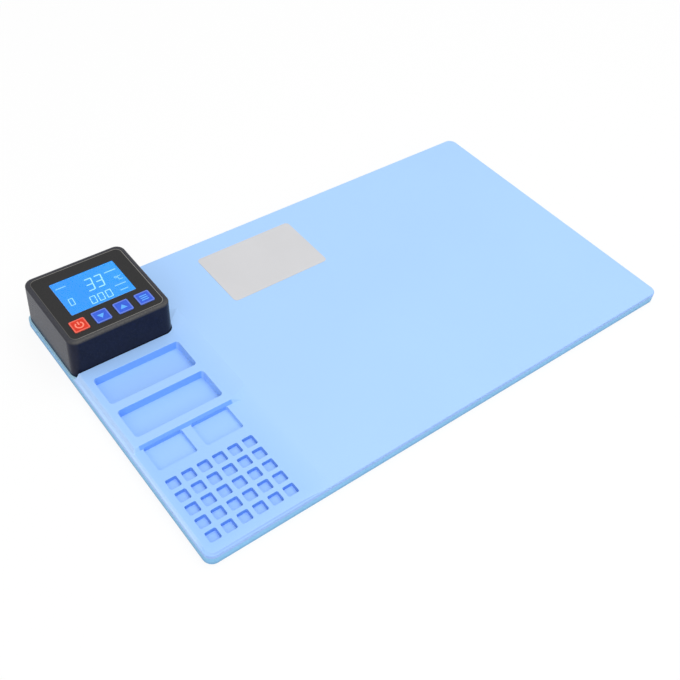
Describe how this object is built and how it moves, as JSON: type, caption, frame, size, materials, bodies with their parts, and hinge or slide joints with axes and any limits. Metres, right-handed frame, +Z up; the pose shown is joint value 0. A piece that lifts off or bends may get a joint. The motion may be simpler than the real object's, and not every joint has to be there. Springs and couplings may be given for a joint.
{
  "type": "heated silicone work mat",
  "caption": "Flat heated silicone work mat with a corner temperature controller, raised parts trays, shallow dishes and small moulded cells beside a plain heated field.",
  "frame": {"origin": "on the bench under the centre of the base", "axes": "+X along the long side from the controller towards the heated field, +Y from the small cells towards the controller, +Z up"},
  "size_m": [0.38, 0.222, 0.036],
  "materials": {
    "mat_silicone": "soft matt moulded silicone",
    "base_silicone": "matt moulded edge",
    "label_sheet": "smooth blank plastic sheet",
    "felt": "pressed fibre",
    "heater_film": "satin polyimide film",
    "plate_metal": "milled sheet",
    "tin_metal": "tinned",
    "sensor_case": "moulded",
    "housing_black": "fine grained black moulding",
    "panel_grey": "fine grained charcoal panel",
    "window_clear": "clear polished pane",
    "lcd_blue": "lit blue display",
    "light_box": "white diffuser",
    "board_green": "solder resist",
    "switch_black": "moulded",
    "plunger_grey": "moulded",
    "key_red": "satin key cap",
    "key_blue": "satin key cap",
    "part_black": "moulded component case",
    "part_blue": "moulded component case",
    "part_green": "moulded component case",
    "screw_steel": "plated",
    "lead_red": "silicone insulation",
    "lead_white": "thin insulation"
  },
  "bodies": {
    "mat_assembly": {"base_shell": "base_silicone", "work_mat": "mat_silicone", "blank_label": "label_sheet", "insulation_pad": "felt", "heating_element": "heater_film", "spreader_plate": "plate_metal", "heater_terminals": "tin_metal", "thermal_cutout": "sensor_case", "temperature_sensor": "sensor_case", "controller_housing": "housing_black", "front_panel": "panel_grey", "display_window": "window_clear", "lcd_panel": "lcd_blue", "lcd_backlight": "light_box", "control_board": "board_green", "key_switches": "switch_black", "power_board": "board_green", "supply_module": "part_black", "relay": "part_blue", "lead_terminal": "part_green", "filter_capacitor": "part_black", "line_fuse": "part_black", "buzzer": "part_black", "board_link": "part_black", "controller_chip": "part_black", "sensor_socket": "lead_white", "mains_inlet": "part_black", "inlet_pins": "tin_metal", "housing_screws": "screw_steel", "control_board_screws": "screw_steel", "power_board_screws": "screw_steel", "heater_leads": "lead_red", "sensor_leads": "lead_white"},
    "body_key_power": {"key_power": "key_red", "plunger_power": "plunger_grey"},
    "body_key_down": {"key_down": "key_blue", "plunger_down": "plunger_grey"},
    "body_key_up": {"key_up": "key_blue", "plunger_up": "plunger_grey"},
    "body_key_mode": {"key_mode": "key_blue", "plunger_mode": "plunger_grey"}
  },
  "joints": [
    {"name": "press_power", "type": "slide", "parent": "mat_assembly", "child": "body_key_power", "axis": [0, 0, -1], "range_m": [0, 0.0004], "stiffness_N_per_m": 2000, "springref_m": -0.0004},
    {"name": "press_down", "type": "slide", "parent": "mat_assembly", "child": "body_key_down", "axis": [0, 0, -1], "range_m": [0, 0.0004], "stiffness_N_per_m": 2000, "springref_m": -0.0004},
    {"name": "press_up", "type": "slide", "parent": "mat_assembly", "child": "body_key_up", "axis": [0, 0, -1], "range_m": [0, 0.0004], "stiffness_N_per_m": 2000, "springref_m": -0.0004},
    {"name": "press_mode", "type": "slide", "parent": "mat_assembly", "child": "body_key_mode", "axis": [0, 0, -1], "range_m": [0, 0.0004], "stiffness_N_per_m": 2000, "springref_m": -0.0004}
  ]
}
